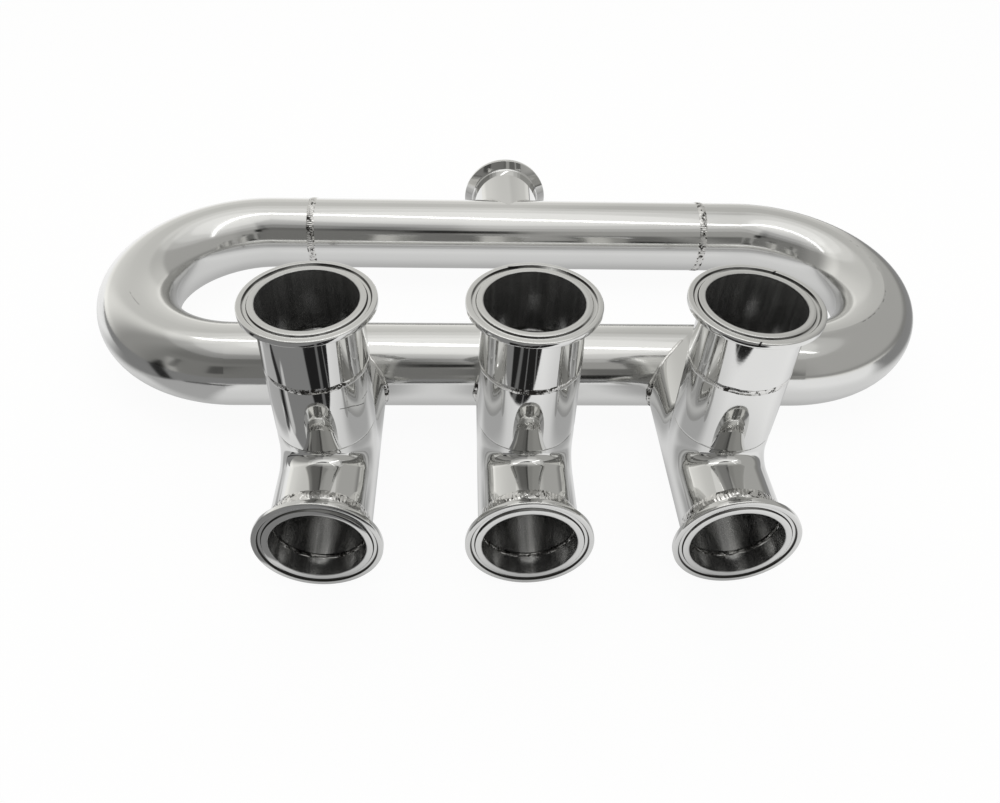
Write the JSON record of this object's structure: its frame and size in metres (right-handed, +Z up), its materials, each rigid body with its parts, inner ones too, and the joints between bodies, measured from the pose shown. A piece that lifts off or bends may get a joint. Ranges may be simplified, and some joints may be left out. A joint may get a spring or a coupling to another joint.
{
  "type": "pipe manifold",
  "caption": "Welded stainless pipe manifold: a flat oval ring of tube feeding a row of tees with upward and forward clamp ports, and a rear clamp port.",
  "frame": {"origin": "on the surface that the forward and rear clamp flanges rest on, at the middle of the overall box in plan", "axes": "+X along the manifold, -Y out of the forward ports, +Y out of the rear port, +Z up out of the upper ports"},
  "size_m": [0.5472, 0.3504, 0.1365],
  "materials": {
    "satin_tube": "satin polished stainless tube with long soft highlights",
    "polished_tee": "mirror polished stainless steel with a few fine scratches",
    "ferrule": "turned and polished stainless steel with satin clamp faces",
    "weld": "bright rippled weld beads with darker edges"
  },
  "bodies": {
    "root": {"front_run_tube": "satin_tube", "back_run_tube": "satin_tube", "left_return_bend": "satin_tube", "right_return_bend": "satin_tube", "rear_ferrule": "ferrule", "rear_saddle_weld": "weld", "left_front_butt_weld": "weld", "left_back_butt_weld": "weld", "right_front_butt_weld": "weld", "right_back_butt_weld": "weld", "left_tee": "polished_tee", "left_saddle_weld": "weld", "left_riser": "polished_tee", "left_upper_weld": "weld", "left_upper_ferrule": "ferrule", "left_forward_weld": "weld", "left_forward_ferrule": "ferrule", "middle_tee": "polished_tee", "middle_saddle_weld": "weld", "middle_riser": "polished_tee", "middle_upper_weld": "weld", "middle_upper_ferrule": "ferrule", "middle_forward_weld": "weld", "middle_forward_ferrule": "ferrule", "right_tee": "polished_tee", "right_saddle_weld": "weld", "right_riser": "polished_tee", "right_upper_weld": "weld", "right_upper_ferrule": "ferrule", "right_forward_weld": "weld", "right_forward_ferrule": "ferrule"}
  },
  "joints": []
}
